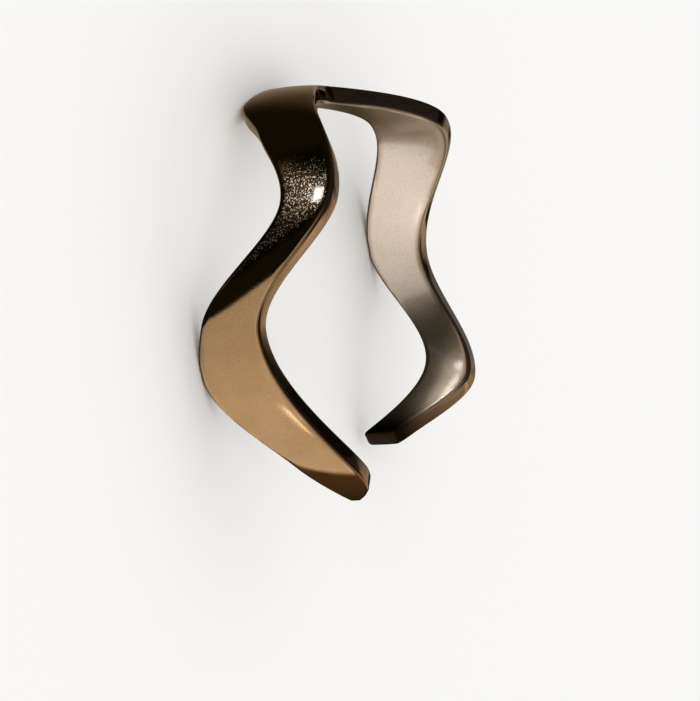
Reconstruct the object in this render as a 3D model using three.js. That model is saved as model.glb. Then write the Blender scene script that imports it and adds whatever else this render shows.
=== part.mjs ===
// An adjustable wave ring: one gold band bent round the finger, with two free ends.
// Both long edges of the band rise and fall round the ring, and three troughs of the lower
// edge are dressed flat, so the ring lies level on its side with the finger axis upright.
//
// Lengths are in millimetres and angles in degrees. The finger axis is +Z, z = 0 is what the
// ring rests on, and angles run round the axis from +Y towards -X.
import * as THREE from 'three';

const OUTER_RADIUS = 9.5;
const WALL = 0.8; // thickness along the edges of the band
const CROWN_RADIUS = 11; // both faces of the band bulge gently across its width, at this radius
const EDGE_RADIUS = 0.16; // rounding along every edge of the band
const CORNER_STEPS = 3; // facets in each rounded corner of a section
const FACE_STEPS = 3; // facets across each face of a section
const SECTION_STEP = 2; // angle between sections along the band
const TIP_ZONE = 1.3; // length at each tip where the sections crowd together
const TIP_STEPS = 10; // sections in that length

// The band's lower edge from one tip to the other: a row for each crest and trough, and a few
// between them to shape the rises. The edge is dressed flat wherever it would pass below 0.
const LOWER_EDGE = [
  { angle: -148, height: -0.4 },
  { angle: -111, height: 2.75 },
  { angle: -75, height: -0.03 },
  { angle: -26, height: 2.6 },
  { angle: 3, height: 0.04 },
  { angle: 12, height: -0.03 },
  { angle: 22, height: 0.04 },
  { angle: 40, height: 1.93 },
  { angle: 64.5, height: 4.05 },
  { angle: 96.5, height: 0.4 },
  { angle: 110, height: -0.03 },
  { angle: 141, height: 2.77 },
  { angle: 166, height: 4.05 },
];

// The upper edge in the same way. Past its last crest it slants down to the second tip.
const UPPER_EDGE = [
  { angle: -140, height: 1.9 },
  { angle: -115, height: 5.1 },
  { angle: -78, height: 2.7 },
  { angle: -31, height: 6.0 },
  { angle: -2, height: 2.2 },
  { angle: 20, height: 3.4 },
  { angle: 62, height: 6.5 },
  { angle: 99, height: 3.2 },
  { angle: 149, height: 5.65 },
  { angle: 154, height: 5.48 },
  { angle: 158, height: 5.07 },
  { angle: 162, height: 4.6 },
];

// The two tips: where the band ends, and how the outline is rounded off there. Over the last
// `length` of each edge the outline draws in by `depth`, along a quarter of an ellipse.
const FIRST_TIP = {
  angle: -136.5,
  lower: { length: 0.3, depth: 0.15 },
  upper: { length: 0.6, depth: 0.25 },
};
const SECOND_TIP = {
  angle: 161.9,
  lower: { length: 0.3, depth: 0.06 },
  upper: { length: 0.4, depth: 0.08 },
};

const GOLD = { name: 'gold', color: 0xb98d5e, roughness: 0.28, metalness: 1.0 };

const radians = THREE.MathUtils.degToRad;

// Rise per degree from one row to the next.
function rise(from, to) {
  return (to.height - from.height) / (to.angle - from.angle);
}

// Slope of an edge at one of its rows: level at the ends, crests and troughs.
function slopeAt(rows, index) {
  if (index === 0 || index === rows.length - 1) return 0;
  const before = rise(rows[index - 1], rows[index]);
  const after = rise(rows[index], rows[index + 1]);
  return before * after > 0 ? (2 * before * after) / (before + after) : 0;
}

// Height of an edge at an angle: a smooth cubic between one row and the next, with no overshoot.
function edgeHeight(rows, angle) {
  const next = Math.max(1, rows.findIndex((row) => row.angle >= angle));
  const from = rows[next - 1];
  const to = rows[next];
  const span = to.angle - from.angle;
  const share = (angle - from.angle) / span;
  const rest = 1 - share;
  return from.height * (1 + 2 * share) * rest * rest
    + to.height * (1 + 2 * rest) * share * share
    + span * share * rest * (slopeAt(rows, next - 1) * rest - slopeAt(rows, next) * share);
}

// How far a quarter ellipse has drawn in at a distance from the tip.
function drawIn(distance, { length, depth }) {
  const reach = Math.max(0, 1 - distance / length);
  return depth * (1 - Math.sqrt(1 - reach * reach));
}

// The band's section at an angle: its radii and heights along the edges, and how far its faces
// bulge between them. The crown of the outer face is at the outer radius all the way round.
function sectionAt(angle) {
  const fromFirst = radians(angle - FIRST_TIP.angle) * OUTER_RADIUS;
  const fromSecond = radians(SECOND_TIP.angle - angle) * OUTER_RADIUS;
  const endRounding = drawIn(Math.min(fromFirst, fromSecond), { length: EDGE_RADIUS, depth: EDGE_RADIUS });
  const lowerTrim = drawIn(fromFirst, FIRST_TIP.lower) + drawIn(fromSecond, SECOND_TIP.lower);
  const upperTrim = drawIn(fromFirst, FIRST_TIP.upper) + drawIn(fromSecond, SECOND_TIP.upper);
  const low = Math.max(0, edgeHeight(LOWER_EDGE, angle)) + lowerTrim + endRounding;
  const high = edgeHeight(UPPER_EDGE, angle) - upperTrim - endRounding;
  const crown = ((high - low) / 2) ** 2 / (2 * CROWN_RADIUS);
  const outer = OUTER_RADIUS - crown - endRounding;
  const inner = OUTER_RADIUS - crown - WALL + endRounding;
  return { inner, outer, low, high, crown };
}

// A quarter circle of radius and height pairs, turning anticlockwise from a start angle.
function corner(radius, height, round, start) {
  return Array.from({ length: CORNER_STEPS + 1 }, (_, step) => {
    const turn = radians(start + (90 * step) / CORNER_STEPS);
    return [radius + round * Math.cos(turn), height + round * Math.sin(turn)];
  });
}

// The points between the two ends of a face, at one radius.
function face(radius, from, to) {
  return Array.from({ length: FACE_STEPS - 1 }, (_, step) =>
    [radius, THREE.MathUtils.lerp(from, to, (step + 1) / FACE_STEPS)]);
}

// The outline of a section, as radius and height pairs, anticlockwise: a rounded rectangle
// with its inner and outer faces bulged.
function sectionOutline({ inner, outer, low, high, crown }) {
  const round = Math.min(EDGE_RADIUS, 0.45 * (high - low));
  const bottom = low + round;
  const top = high - round;
  const outline = [
    ...corner(outer - round, bottom, round, -90),
    ...face(outer, bottom, top),
    ...corner(outer - round, top, round, 0),
    ...corner(inner + round, top, round, 90),
    ...face(inner, top, bottom),
    ...corner(inner + round, bottom, round, 180),
  ];
  return outline.map(([radius, height]) => {
    const across = (2 * height - low - high) / (high - low);
    const side = (2 * radius - inner - outer) / (outer - inner);
    return [radius + side * crown * (1 - across * across), height];
  });
}

// The angles of the sections: even along the band and crowded together at each tip.
function sectionAngles() {
  const zone = THREE.MathUtils.radToDeg(TIP_ZONE / OUTER_RADIUS);
  const crowd = Array.from({ length: TIP_STEPS }, (_, step) =>
    zone * (1 - Math.cos((Math.PI / 2) * (step / TIP_STEPS))));
  const first = Math.ceil((FIRST_TIP.angle + zone) / SECTION_STEP) * SECTION_STEP;
  const last = Math.floor((SECOND_TIP.angle - zone) / SECTION_STEP) * SECTION_STEP;
  const count = (last - first) / SECTION_STEP + 1;
  const even = Array.from({ length: count }, (_, step) => first + step * SECTION_STEP);
  return [
    ...crowd.map((angle) => FIRST_TIP.angle + angle),
    ...even,
    ...crowd.map((angle) => SECOND_TIP.angle - angle).reverse(),
  ];
}

// Join the sections into one closed solid, with a flat fan over each tip.
function bandGeometry() {
  const sections = sectionAngles().map((angle) => {
    const turn = radians(angle);
    return sectionOutline(sectionAt(angle)).map(([radius, height]) =>
      new THREE.Vector3(-radius * Math.sin(turn), radius * Math.cos(turn), height));
  });
  const around = sections[0].length;
  const faces = [];
  for (let section = 0; section < sections.length - 1; section += 1) {
    for (let side = 0; side < around; side += 1) {
      const here = section * around + side;
      const beside = section * around + ((side + 1) % around);
      faces.push(here, here + around, beside);
      faces.push(beside, here + around, beside + around);
    }
  }
  const lastSection = (sections.length - 1) * around;
  for (let side = 1; side < around - 1; side += 1) {
    faces.push(0, side, side + 1);
    faces.push(lastSection, lastSection + side + 1, lastSection + side);
  }
  const geometry = new THREE.BufferGeometry().setFromPoints(sections.flat());
  geometry.setIndex(faces);
  geometry.computeVertexNormals();
  return geometry;
}

const gold = new THREE.MeshStandardMaterial(GOLD);

const band = new THREE.Mesh(bandGeometry(), gold);
band.name = 'band';

const group = new THREE.Group();
group.name = 'adjustable_wave_ring';
group.add(band);

export default group;
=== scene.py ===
from math import cos, degrees, pi, radians, sin, sqrt

import bpy
from mathutils import Matrix, Vector, noise


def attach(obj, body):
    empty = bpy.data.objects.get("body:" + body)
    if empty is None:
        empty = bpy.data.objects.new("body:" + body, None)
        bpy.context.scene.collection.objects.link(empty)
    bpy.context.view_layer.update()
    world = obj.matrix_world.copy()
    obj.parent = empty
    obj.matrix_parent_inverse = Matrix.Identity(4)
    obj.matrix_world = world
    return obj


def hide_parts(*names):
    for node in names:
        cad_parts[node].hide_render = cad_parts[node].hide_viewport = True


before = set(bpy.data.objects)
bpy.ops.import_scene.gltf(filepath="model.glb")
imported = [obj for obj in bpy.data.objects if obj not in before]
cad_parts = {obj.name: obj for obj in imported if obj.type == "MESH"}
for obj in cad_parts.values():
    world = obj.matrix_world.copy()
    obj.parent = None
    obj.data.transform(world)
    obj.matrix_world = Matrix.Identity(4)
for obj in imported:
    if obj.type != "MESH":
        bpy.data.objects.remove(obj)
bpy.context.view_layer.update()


def colour(red, green, blue):
    """A colour as the sockets of nodes take it, with full opacity."""
    return (red, green, blue, 1.0)


# Lengths are in metres and angles in degrees. The finger axis is +Z and the floor is z = 0.
# Angles round the ring, and the azimuths of cards and camera, run from +Y towards -X.
MM = 0.001

# The ring, with the sizes of its CAD model.
OUTER_RADIUS = 9.5 * MM
WALL = 0.8 * MM
CROWN_RADIUS = 11 * MM
EDGE_RADIUS = 0.16 * MM
# The rounding of an edge takes up at most this share of the band's width.
MOST_ROUNDING = 0.45
# The band's lower edge from one tip to the other: each row is an angle and the height of the
# edge there, in millimetres. The edge is flat wherever it would pass below 0.
LOWER_EDGE = [
    (-148, -0.4),
    (-111, 2.75),
    (-75, -0.03),
    (-26, 2.6),
    (3, 0.04),
    (12, -0.03),
    (22, 0.04),
    (40, 1.93),
    (64.5, 4.05),
    (96.5, 0.4),
    (110, -0.03),
    (141, 2.77),
    (166, 4.05),
]
# The upper edge in the same way. Past its last crest it slants down to the second tip.
UPPER_EDGE = [
    (-140, 1.9),
    (-115, 5.1),
    (-78, 2.7),
    (-31, 6.0),
    (-2, 2.2),
    (20, 3.4),
    (62, 6.5),
    (99, 3.2),
    (149, 5.65),
    (154, 5.48),
    (158, 5.07),
    (162, 4.6),
]
# Where the band ends, and the length and depth over which each edge draws in, in millimetres.
FIRST_TIP = {"angle": -136.5, "lower": (0.3, 0.15), "upper": (0.6, 0.25)}
SECOND_TIP = {"angle": 161.9, "lower": (0.3, 0.06), "upper": (0.4, 0.08)}

# How finely the mesh is cut: steps round each rounded edge and across each face, degrees from
# one section to the next, and the steps in the length at each tip where sections crowd together.
CORNER_STEPS = 6
FACE_STEPS = 12
SECTION_STEP = 0.5
TIP_ZONE = 1.3 * MM
TIP_STEPS = 24

# Hand polishing leaves the faces very slightly wavy.
POLISH_DEPTH = 0.003 * MM
POLISH_LENGTH = 1.6 * MM

# The marks that the mesh carries for its material, each a number from 0 to 1 at every point.
MARKS = ("edge", "inner_face", "skin_and_glints", "satin", "painted_dark_end", "lacquer")
# The grainy skin of the casting shows through the polish of the outer face round one crest, with painted
# glints and painted dark reflections in its colour: the angles it comes in over and goes out over, and how
# much sooner at the upper edge.
SKIN_IN, SKIN_IN_LEAN = (45, 66), 6
SKIN_OUT, SKIN_OUT_LEAN = (79, 93), 20
# Round the trough after it the outer face is satin: the angles that comes in and goes out over.
SATIN_IN, SATIN_OUT = (97, 107), (112, 120)
# The band is painted dark towards its first tip, a painted dark reflection: fully up to the first of these
# angles from the tip, and not at all past the second.
DARK_END = (1, 16)
# Clear lacquer covers the inner face, and the grainy skin in the upper part of the band's width:
# the shares of the width that it comes in over.
LACQUER_IN = (0.56, 0.76)


def direction(azimuth, elevation=0):
    """The unit vector that points to an azimuth and elevation."""
    turn, rise = radians(azimuth), radians(elevation)
    return Vector((-sin(turn) * cos(rise), cos(turn) * cos(rise), sin(rise)))


def slope_at(rows, index):
    """Slope of an edge at one of its rows: level at the ends, crests and troughs."""
    if index in (0, len(rows) - 1):
        return 0
    before, after = (
        (rows[i + 1][1] - rows[i][1]) / (rows[i + 1][0] - rows[i][0]) for i in (index - 1, index)
    )
    return 2 * before * after / (before + after) if before * after > 0 else 0


def edge_height(rows, angle):
    """Height of an edge at an angle: a smooth cubic between one row and the next."""
    following = next(i for i in range(1, len(rows)) if rows[i][0] >= angle)
    (start, low), (end, high) = rows[following - 1], rows[following]
    span = end - start
    share = (angle - start) / span
    rest = 1 - share
    bend = slope_at(rows, following - 1) * rest - slope_at(rows, following) * share
    level = low * (1 + 2 * share) * rest**2 + high * (1 + 2 * rest) * share**2
    return MM * (level + span * share * rest * bend)


def draw_in(distance, length, depth):
    """How far a quarter ellipse has drawn in at a distance from the tip."""
    reach = max(0, 1 - distance / length)
    return depth * (1 - sqrt(1 - reach * reach))


def section_at(angle):
    """The band's section: inner and outer radius along the edges, low and high edge, and crown."""
    from_first = radians(angle - FIRST_TIP["angle"]) * OUTER_RADIUS
    from_second = radians(SECOND_TIP["angle"] - angle) * OUTER_RADIUS
    end_rounding = draw_in(max(0, min(from_first, from_second)), EDGE_RADIUS, EDGE_RADIUS)
    trims = {
        edge: sum(
            draw_in(max(0, distance), *(MM * size for size in tip[edge]))
            for distance, tip in ((from_first, FIRST_TIP), (from_second, SECOND_TIP))
        )
        for edge in ("lower", "upper")
    }
    low = max(0, edge_height(LOWER_EDGE, angle)) + trims["lower"] + end_rounding
    high = edge_height(UPPER_EDGE, angle) - trims["upper"] - end_rounding
    crown = ((high - low) / 2) ** 2 / (2 * CROWN_RADIUS)
    outer = OUTER_RADIUS - crown - end_rounding
    inner = OUTER_RADIUS - crown - WALL + end_rounding
    return inner, outer, low, high, crown


def section_outline(inner, outer, low, high, crown):
    """Points round a section, anticlockwise: each one's radius, height, edge and inner marks."""
    rounding = min(EDGE_RADIUS, MOST_ROUNDING * (high - low))
    bottom, top = low + rounding, high - rounding

    def corner(radius, height, start):
        for step in range(CORNER_STEPS + 1):
            turn = radians(start + 90 * step / CORNER_STEPS)
            yield radius + rounding * cos(turn), height + rounding * sin(turn), 1

    def face(radius, begin, end):
        for step in range(1, FACE_STEPS):
            yield radius, begin + (end - begin) * step / FACE_STEPS, 0

    outline = [
        *corner(outer - rounding, bottom, -90),
        *face(outer, bottom, top),
        *corner(outer - rounding, top, 0),
        *corner(inner + rounding, top, 90),
        *face(inner, top, bottom),
        *corner(inner + rounding, bottom, 180),
    ]
    points = []
    for radius, height, edge in outline:
        across = (2 * height - low - high) / (high - low)
        side = (2 * radius - inner - outer) / (outer - inner)
        points.append((radius + side * crown * (1 - across * across), height, edge, (1 - side) / 2))
    return points


def section_angles():
    """Angles of the sections: even along the band, crowded together at each tip."""
    zone = degrees(TIP_ZONE / OUTER_RADIUS)
    crowd = [zone * (1 - cos(pi / 2 * step / TIP_STEPS)) for step in range(TIP_STEPS)]
    first, last = FIRST_TIP["angle"] + zone, SECOND_TIP["angle"] - zone
    count = round((last - first) / SECTION_STEP)
    even = [first + (last - first) * step / count for step in range(count + 1)]
    return [
        *(FIRST_TIP["angle"] + angle for angle in crowd),
        *even,
        *(SECOND_TIP["angle"] - angle for angle in reversed(crowd)),
    ]


def ease(value, low, high):
    """A smooth step from 0 at the low value to 1 at the high one."""
    share = min(1, max(0, (value - low) / (high - low)))
    return share * share * (3 - 2 * share)


def polished(point):
    """A point of the band, moved in a little where the polishing wheel took more off."""
    wave = noise.noise(point / POLISH_LENGTH)
    return point - Vector((point.x, point.y, 0)).normalized() * POLISH_DEPTH * (1 + wave) / 2


def marks_at(angle, share, edge, inner):
    """The marks of a point at a share of the band's width, counted from the lower edge."""
    coming_in = ease(angle + SKIN_IN_LEAN * share, *SKIN_IN)
    going_out = ease(angle + SKIN_OUT_LEAN * share, *SKIN_OUT)
    skin = coming_in * (1 - going_out) * (1 - edge) * (1 - inner)
    satin = ease(angle, *SATIN_IN) * (1 - ease(angle, *SATIN_OUT))
    painted_dark_end = 1 - ease(angle - FIRST_TIP["angle"], *DARK_END)
    return {
        "edge": edge,
        "inner_face": inner,
        "skin_and_glints": skin,
        "satin": max(skin, satin),
        "painted_dark_end": painted_dark_end,
        "lacquer": max(inner, skin * ease(share, *LACQUER_IN)) * (1 - painted_dark_end),
    }


def make_band(name):
    """The band as one closed mesh, with the marks for its material."""
    angles = section_angles()
    vertices, marks = [], []
    for angle in angles:
        out = direction(angle)
        inner_radius, outer_radius, low, high, crown = section_at(angle)
        for radius, height, edge, inner in section_outline(inner_radius, outer_radius, low, high, crown):
            vertices.append(polished(out * radius + Vector((0, 0, height))))
            marks.append(marks_at(angle, (height - low) / (high - low), edge, inner))
    around = len(vertices) // len(angles)
    faces = []
    for section in range(len(angles) - 1):
        for side in range(around):
            here = section * around + side
            beside = section * around + (side + 1) % around
            faces.append((here, here + around, beside + around, beside))
    last = (len(angles) - 1) * around
    faces.append(tuple(range(around)))
    faces.append(tuple(last + side for side in reversed(range(around))))
    mesh = bpy.data.meshes.new(name)
    mesh.from_pydata(vertices, [], faces)
    mesh.shade_smooth()
    for mark in MARKS:
        values = [point[mark] for point in marks]
        mesh.attributes.new(mark, "FLOAT", "POINT").data.foreach_set("value", values)
    mesh.validate()
    band = bpy.data.objects.new(name, mesh)
    bpy.context.scene.collection.objects.link(band)
    return band


class Nodes:
    """A short way to add and link the nodes of a material."""

    def __init__(self, tree):
        self.tree = tree
        tree.nodes.clear()

    def add(self, kind, links=None, **settings):
        """A new node: the links give each of its inputs an output to follow or a value."""
        node = self.tree.nodes.new(kind)
        for key, value in settings.items():
            setattr(node, key, value)
        for socket, value in (links or {}).items():
            target = node.inputs[socket]
            if isinstance(value, bpy.types.NodeSocket):
                self.tree.links.new(value, target)
            else:
                target.default_value = value
        return node

    def math(self, operation, first, second, third=0.0):
        """The result of an operation on two or three numbers."""
        return self.add("ShaderNodeMath", {0: first, 1: second, 2: third}, operation=operation).outputs[0]

    def ramp(self, value, span, result=(0.0, 1.0)):
        """A smooth step from the first result to the second as the value crosses the span."""
        (low, high), (to_low, to_high) = span, result
        links = {"Value": value, "From Min": low, "From Max": high, "To Min": to_low, "To Max": to_high}
        return self.add("ShaderNodeMapRange", links, interpolation_type="SMOOTHSTEP").outputs["Result"]

    def mix(self, share, first, second):
        """Two colours mixed, with the given share of the second."""
        links = {"Factor": share, 6: first, 7: second}
        return self.add("ShaderNodeMix", links, data_type="RGBA").outputs[2]

    def cloud(self, place, scale, detail, roughness):
        """Cloudy noise, mostly between 0.3 and 0.7."""
        links = {"Vector": place, "Scale": scale, "Detail": detail, "Roughness": roughness}
        return self.add("ShaderNodeTexNoise", links).outputs["Fac"]


# Noise patterns in the gold: how many features to a millimetre, detail and roughness.
BORDER_NOISE = (3.5, 3, 0.6)
PIT_NOISE = (20, 2, 0.5)
GRAIN_NOISE = (14, 1, 0.5)
GLINT_TONE_NOISE = (7, 1, 0.5)
TONE_NOISE = (0.55, 3, 0.5)
POLISH_NOISE = (1.3, 4, 0.5)
# Drawing lines along the edges: how many to a millimetre across, their noise, and their strength.
LINES_PER_MM = 16
LINE_NOISE = (1, 1, 0.5)
LINE_STRENGTH = 0.55

# The values of each mark or pattern between which its effect comes in, or goes out again for the
# lines and pits.
INSIDE_SPAN = (0.75, 0.95)
SKIN_SPAN = (0.05, 0.55)
SATIN_SPAN = (0.35, 0.7)
LINE_SPAN = (0.42, 0.60)
PIT_SPAN = (0.32, 0.46)
GLINT_SPAN = (0.57, 0.62)
GLINT_TONE_SPAN = (0.4, 0.6)
TONE_SPAN = (0.35, 0.65)
POLISH_SPAN = (0.3, 0.7)

# How ragged the border of the satin is, and the shares of that for the border of the grainy skin and the
# spread of its painted glints. Then how strongly the painted glints thin out as the skin ends.
RAGGED = 0.8
SKIN_RAGGED = 0.4
GLINT_RAGGED = 0.3
GLINT_THINNING = 0.15

# Tones of the gold. Where there are two, it drifts from one to the other.
OUTSIDE_TONES = colour(0.49, 0.295, 0.145), colour(0.53, 0.325, 0.162)
INSIDE_TONE = colour(0.82, 0.69, 0.55)
WORN_TONE = colour(0.66, 0.44, 0.25)
PIT_TONE = colour(0.24, 0.13, 0.06)
# The two tones of the grains are painted glints, not the gold's own colour. The tone of the hollows below
# is a painted dark reflection.
PAINTED_GLINT_TONES = colour(1.0, 0.68, 0.38), colour(0.92, 0.88, 0.82)
PAINTED_HOLLOW_REFLECTION = colour(0.045, 0.032, 0.014)
# A painted dark reflection, nearly black, that the band takes on towards its first tip.
PAINTED_DARK_TONE = colour(0.018, 0.011, 0.005)
# How much of their tones the worn edges and the pits take on.
WEAR = 0.4
PIT_STRENGTH = 0.42

# Roughness of the polish, from its brightest places to its dullest, what the satin adds to it,
# and what the wear along the edges takes off. Then the lacquer's own, and its refractive index.
POLISH_ROUGHNESS = (0.05, 0.08)
SATIN_ROUGHNESS = 0.235
EDGE_SMOOTHING = 0.01
LACQUER_ROUGHNESS = 0.04
LACQUER_INDEX = 2.0
# Depths of the pits and of the casting's grains.
PIT_DEPTH = 0.0014 * MM
GRAIN_DEPTH = 0.008 * MM


def make_gold():
    """Warm gold plating, from polished to satin, with worn edges, a pale inside, grainy skin with painted
    glints and painted dark reflections, and a painted dark reflection towards the first tip.
    """
    material = bpy.data.materials.new("gold_plating")
    material.use_nodes = True
    nodes = Nodes(material.node_tree)
    place = nodes.add("ShaderNodeTexCoord").outputs["Object"]
    in_mm = nodes.add(
        "ShaderNodeVectorMath", {0: place, 1: (1 / MM, 1 / MM, 1 / MM)}, operation="MULTIPLY"
    ).outputs[0]
    edge, inner, skin_and_glints_mark, satin_mark, painted_dark_end, lacquer = (
        nodes.add("ShaderNodeAttribute", attribute_name=mark).outputs["Fac"] for mark in MARKS
    )

    # The finishes meet along ragged lines.
    ragged = nodes.math("MULTIPLY_ADD", nodes.cloud(in_mm, *BORDER_NOISE), RAGGED, -RAGGED / 2)
    inside = nodes.ramp(inner, INSIDE_SPAN)
    skin = nodes.ramp(nodes.math("MULTIPLY_ADD", ragged, SKIN_RAGGED, skin_and_glints_mark), SKIN_SPAN)
    satin = nodes.ramp(nodes.math("ADD", satin_mark, ragged), SATIN_SPAN)
    soft = nodes.math("MAXIMUM", inside, satin)

    # Drawing lines run along the band on its edges, round the ring's own axis.
    parts = nodes.add("ShaderNodeSeparateXYZ", {0: in_mm}).outputs
    from_axis = nodes.add("ShaderNodeCombineXYZ", {"X": parts["X"], "Y": parts["Y"]}).outputs[0]
    radius = nodes.add("ShaderNodeVectorMath", {0: from_axis}, operation="LENGTH").outputs["Value"]
    along = nodes.add(
        "ShaderNodeCombineXYZ", {"X": nodes.math("MULTIPLY", radius, LINES_PER_MM), "Y": parts["Z"]}
    ).outputs[0]
    line = nodes.ramp(nodes.cloud(along, *LINE_NOISE), LINE_SPAN, (LINE_STRENGTH, 0))
    edge_lines = nodes.math("MULTIPLY", line, edge)

    # The plating drifts in colour, is lighter where its edges have worn, and is finely pitted.
    pits = nodes.cloud(in_mm, *PIT_NOISE)
    drift = nodes.ramp(nodes.cloud(in_mm, *TONE_NOISE), TONE_SPAN)
    tone = nodes.mix(inside, nodes.mix(drift, *OUTSIDE_TONES), INSIDE_TONE)
    worn = nodes.mix(nodes.math("MULTIPLY", edge, WEAR), tone, WORN_TONE)
    specks = nodes.ramp(pits, PIT_SPAN, (PIT_STRENGTH, 0))
    specked = nodes.mix(nodes.math("MAXIMUM", specks, edge_lines), worn, PIT_TONE)

    # In the casting's skin the grains are real bumps, but their colours are painted: pale painted glints
    # on the grains and painted dark reflections in the hollows, fewer where it meets the polish.
    grains = nodes.cloud(in_mm, *GRAIN_NOISE)
    lowered = nodes.math("SUBTRACT", grains, GLINT_THINNING)
    thinned = nodes.math("MULTIPLY_ADD", ragged, GLINT_RAGGED, lowered)
    glint_level = nodes.math("MULTIPLY_ADD", skin_and_glints_mark, GLINT_THINNING, thinned)
    glint_drift = nodes.ramp(nodes.cloud(in_mm, *GLINT_TONE_NOISE), GLINT_TONE_SPAN)
    painted_glint_tone = nodes.mix(glint_drift, *PAINTED_GLINT_TONES)
    painted_glitter_tone = nodes.mix(nodes.ramp(glint_level, GLINT_SPAN), PAINTED_HOLLOW_REFLECTION, painted_glint_tone)
    # Towards its first tip the gold is painted nearly black, a painted dark reflection.
    final_tone = nodes.mix(painted_dark_end, nodes.mix(skin, specked, painted_glitter_tone), PAINTED_DARK_TONE)

    polish = nodes.ramp(nodes.cloud(in_mm, *POLISH_NOISE), POLISH_SPAN, POLISH_ROUGHNESS)
    finish = nodes.math("MULTIPLY_ADD", soft, SATIN_ROUGHNESS, polish)
    rough = nodes.math("SUBTRACT", finish, nodes.math("MULTIPLY", edge, EDGE_SMOOTHING))

    pit_bump = nodes.add(
        "ShaderNodeBump", {"Strength": 1.0, "Distance": PIT_DEPTH, "Height": pits}
    ).outputs[0]
    grain_bump = nodes.add(
        "ShaderNodeBump", {"Strength": skin, "Distance": GRAIN_DEPTH, "Height": grains, "Normal": pit_bump}
    ).outputs[0]
    shader = nodes.add(
        "ShaderNodeBsdfPrincipled",
        {
            "Base Color": final_tone,
            "Metallic": 1.0,
            "Roughness": rough,
            "Normal": grain_bump,
            "Coat Weight": lacquer,
            "Coat Roughness": LACQUER_ROUGHNESS,
            "Coat IOR": LACQUER_INDEX,
            "Coat Normal": pit_bump,
        },
    )
    nodes.add("ShaderNodeOutputMaterial", {"Surface": shader.outputs[0]})
    return material


# Reflector cards round the ring, out of the camera's sight. Each is a patch of a sphere round
# the ring: its azimuth and elevation limits, over how many degrees it fades in from each of
# them, how far it leans (degrees of azimuth for each of elevation), its colour and strength,
# and how far away it is, in metres.
CARDS = [
    # name, azimuths, elevations, azimuth fades, elevation fades, lean, colour, strength, distance
    ("surround_low", (0, 360), (-89, 0), (0, 0), (0, 0), 0, (1.0, 1.0, 0.55), 0.011, 0.25),
    ("surround_high", (312, 642), (0, 89), (0, 0), (0, 0), 0, (1.0, 1.0, 1.1), 0.028, 0.25),
    ("surround_gap", (282, 312), (0, 89), (0, 0), (0, 0), 0, (1.0, 0.9, 0.7), 0.008, 0.25),
    ("front_card", (90, 197), (-60, 12), (0.3, 4), (12, 4), -0.4, (1.0, 0.975, 0.93), 0.62, 0.2),
    ("front_fill", (92, 197), (-60, 12), (50, 4), (12, 4), -0.4, (1.0, 0.975, 0.93), 0.25, 0.2),
    ("tip_glow", (194, 250), (-75, 0), (4, 45), (6, 10), -0.4, (1.0, 0.68, 0.30), 0.09, 0.2),
    ("edge_card", (222, 284), (3, 46), (5, 26), (5, 8), 0, (1.0, 0.84, 0.62), 0.42, 0.2),
    ("edge_glow", (270, 304), (-5, 26), (5, 8), (5, 3), 0, (0.95, 0.98, 1.0), 0.15, 0.2),
    ("top_glow", (232, 332), (-75, -2), (50, 50), (8, 8), 0, (1.0, 0.85, 0.60), 0.27, 0.2),
    ("key_lamp", (36.6, 46.6), (-10.4, -5.6), (2.2, 2.2), (1.2, 1.2), 0, (1.0, 0.95, 0.88), 13.0, 0.04),
    ("far_glow", (23, 39), (-28, -14), (5, 5), (5, 5), 0, (1.0, 0.92, 0.82), 0.7, 0.042),
    ("far_lamp", (33, 40), (-19, -11.5), (2.5, 2.5), (2.5, 2.5), 0, (1.0, 0.95, 0.88), 5.5, 0.04),
    ("streak", (50, 56), (-46, -16), (3, 3), (5, 3), -1.2, (0.80, 0.95, 1.1), 0.20, 0.2),
    ("side_card", (60, 238), (4, 52), (30, 12), (6, 8), 0, (1.0, 0.88, 0.70), 0.32, 0.2),
    ("arm_lamp", (138, 158), (-14.8, -10.5), (5, 5), (1.2, 1.2), 0, (0.95, 1.0, 1.1), 1.5, 0.2),
]
# The facets of a card are about this many degrees across, and there are at least two each way.
CARD_STEP = 5
FEWEST_FACETS = 2


def card_material(name, azimuths, elevations, azimuth_fades, elevation_fades, tint, strength):
    """An even glow that fades towards the card's limits and lets all other light through."""
    material = bpy.data.materials.new(name)
    material.use_nodes = True
    nodes = Nodes(material.node_tree)
    place = nodes.add("ShaderNodeUVMap", uv_map="card").outputs[0]
    parts = nodes.add("ShaderNodeSeparateXYZ", {0: place}).outputs
    level = strength
    for share, (low, high), (fade_in, fade_out) in (
        (parts["X"], azimuths, azimuth_fades),
        (parts["Y"], elevations, elevation_fades),
    ):
        span = high - low
        if fade_in:
            level = nodes.math("MULTIPLY", nodes.ramp(share, (0, fade_in / span)), level)
        if fade_out:
            level = nodes.math("MULTIPLY", nodes.ramp(share, (1 - fade_out / span, 1), (1, 0)), level)
    shine = nodes.add("ShaderNodeEmission", {"Color": colour(*tint), "Strength": level})
    clear = nodes.add("ShaderNodeBsdfTransparent")
    both = nodes.add("ShaderNodeAddShader", {0: shine.outputs[0], 1: clear.outputs[0]})
    nodes.add("ShaderNodeOutputMaterial", {"Surface": both.outputs[0]})
    return material


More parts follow.
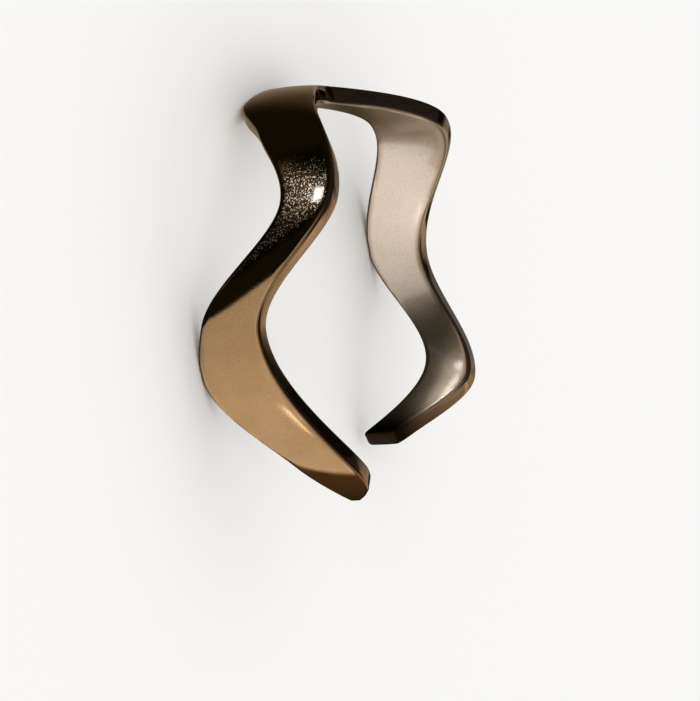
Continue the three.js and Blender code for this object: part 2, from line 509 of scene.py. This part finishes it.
def make_card(name, azimuths, elevations, azimuth_fades, elevation_fades, lean, tint, strength, distance):
    """A card that only reflections see."""
    columns = max(FEWEST_FACETS, round((azimuths[1] - azimuths[0]) / CARD_STEP))
    rows = max(FEWEST_FACETS, round((elevations[1] - elevations[0]) / CARD_STEP))
    middle = sum(elevations) / 2
    vertices = []
    for row in range(rows + 1):
        elevation = elevations[0] + (elevations[1] - elevations[0]) * row / rows
        for column in range(columns + 1):
            azimuth = azimuths[0] + (azimuths[1] - azimuths[0]) * column / columns
            vertices.append(direction(azimuth + lean * (elevation - middle), elevation) * distance)
    faces, corners = [], []
    for row in range(rows):
        for column in range(columns):
            here = row * (columns + 1) + column
            faces.append((here, here + 1, here + columns + 2, here + columns + 1))
            corners += [(column + i, row + j) for i, j in ((0, 0), (1, 0), (1, 1), (0, 1))]
    mesh = bpy.data.meshes.new(name)
    mesh.from_pydata(vertices, [], faces)
    places = mesh.uv_layers.new(name="card")
    for loop, (column, row) in enumerate(corners):
        places.data[loop].uv = (column / columns, row / rows)
    mesh.materials.append(
        card_material(name, azimuths, elevations, azimuth_fades, elevation_fades, tint, strength)
    )
    card = bpy.data.objects.new(name, mesh)
    bpy.context.scene.collection.objects.link(card)
    card.visible_camera = False
    card.visible_diffuse = False
    card.visible_shadow = False


# The floor reaches this far each way, and lies a hair below what the ring rests on.
FLOOR_REACH = 3.0
FLOOR_DROP = 0.01 * MM
FLOOR_TONE = colour(0.92, 0.915, 0.905)


def make_floor():
    """A plain pale floor, which the metal doesn't reflect and which hides no card from it."""
    mesh = bpy.data.meshes.new("floor")
    corners = [
        (x * FLOOR_REACH, y * FLOOR_REACH, -FLOOR_DROP) for x, y in ((-1, -1), (1, -1), (1, 1), (-1, 1))
    ]
    mesh.from_pydata(corners, [], [(0, 1, 2, 3)])
    material = bpy.data.materials.new("pale_floor")
    material.use_nodes = True
    nodes = Nodes(material.node_tree)
    shader = nodes.add("ShaderNodeBsdfDiffuse", {"Color": FLOOR_TONE})
    nodes.add("ShaderNodeOutputMaterial", {"Surface": shader.outputs[0]})
    mesh.materials.append(material)
    floor = bpy.data.objects.new("floor", mesh)
    bpy.context.scene.collection.objects.link(floor)
    floor.visible_glossy = False
    floor.visible_shadow = False


SKY_TONE = colour(1.0, 0.995, 0.985)
SKY_STRENGTH = 1.03


def make_world():
    """Even, soft studio light from all round, which the metal doesn't reflect."""
    world = bpy.data.worlds.new("studio")
    bpy.context.scene.world = world
    world.use_nodes = True
    nodes = Nodes(world.node_tree)
    sky = nodes.add("ShaderNodeBackground", {"Color": SKY_TONE, "Strength": SKY_STRENGTH})
    nodes.add("ShaderNodeOutputWorld", {"Surface": sky.outputs[0]})
    world.cycles_visibility.glossy = False


# The camera: what it turns round, where it stands, how the object sits in its view, its sensor
# and lens in millimetres, and the nearest and farthest that it sees.
TARGET = Vector((0, 0, 3.1 * MM))
CAMERA_AZIMUTH = 90
CAMERA_ELEVATION = 26.08
CAMERA_ROLL = 3.0
CAMERA_DISTANCE = 194 * MM
CAMERA_ASIDE = 0.045 * MM
CAMERA_BELOW = 2.423 * MM
SENSOR = 36.0
LENS = 224.4
CLIP_START, CLIP_END = 0.01, 10


def make_camera():
    """The camera lies on its side, so that the finger axis runs across the picture."""
    back = direction(CAMERA_AZIMUTH, CAMERA_ELEVATION)
    above = direction(CAMERA_AZIMUTH - 90)
    across = above.cross(back)
    roll = radians(CAMERA_ROLL)
    right = across * cos(roll) - above * sin(roll)
    up = across * sin(roll) + above * cos(roll)
    data = bpy.data.cameras.new("camera")
    data.sensor_fit = "HORIZONTAL"
    data.sensor_width = SENSOR
    data.lens = LENS
    data.clip_start = CLIP_START
    data.clip_end = CLIP_END
    camera = bpy.data.objects.new("camera", data)
    bpy.context.scene.collection.objects.link(camera)
    place = TARGET - right * CAMERA_ASIDE - up * CAMERA_BELOW + back * CAMERA_DISTANCE
    camera.matrix_world = Matrix.Translation(place) @ Matrix((right, up, back)).transposed().to_4x4()
    bpy.context.scene.camera = camera


make_camera()
make_world()
make_floor()
for card_row in CARDS:
    make_card(*card_row)

ring = make_band("ring_band")
ring.data.materials.append(make_gold())
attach(ring, "root")
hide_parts("band")

bpy.context.scene.view_settings.view_transform = "Standard"
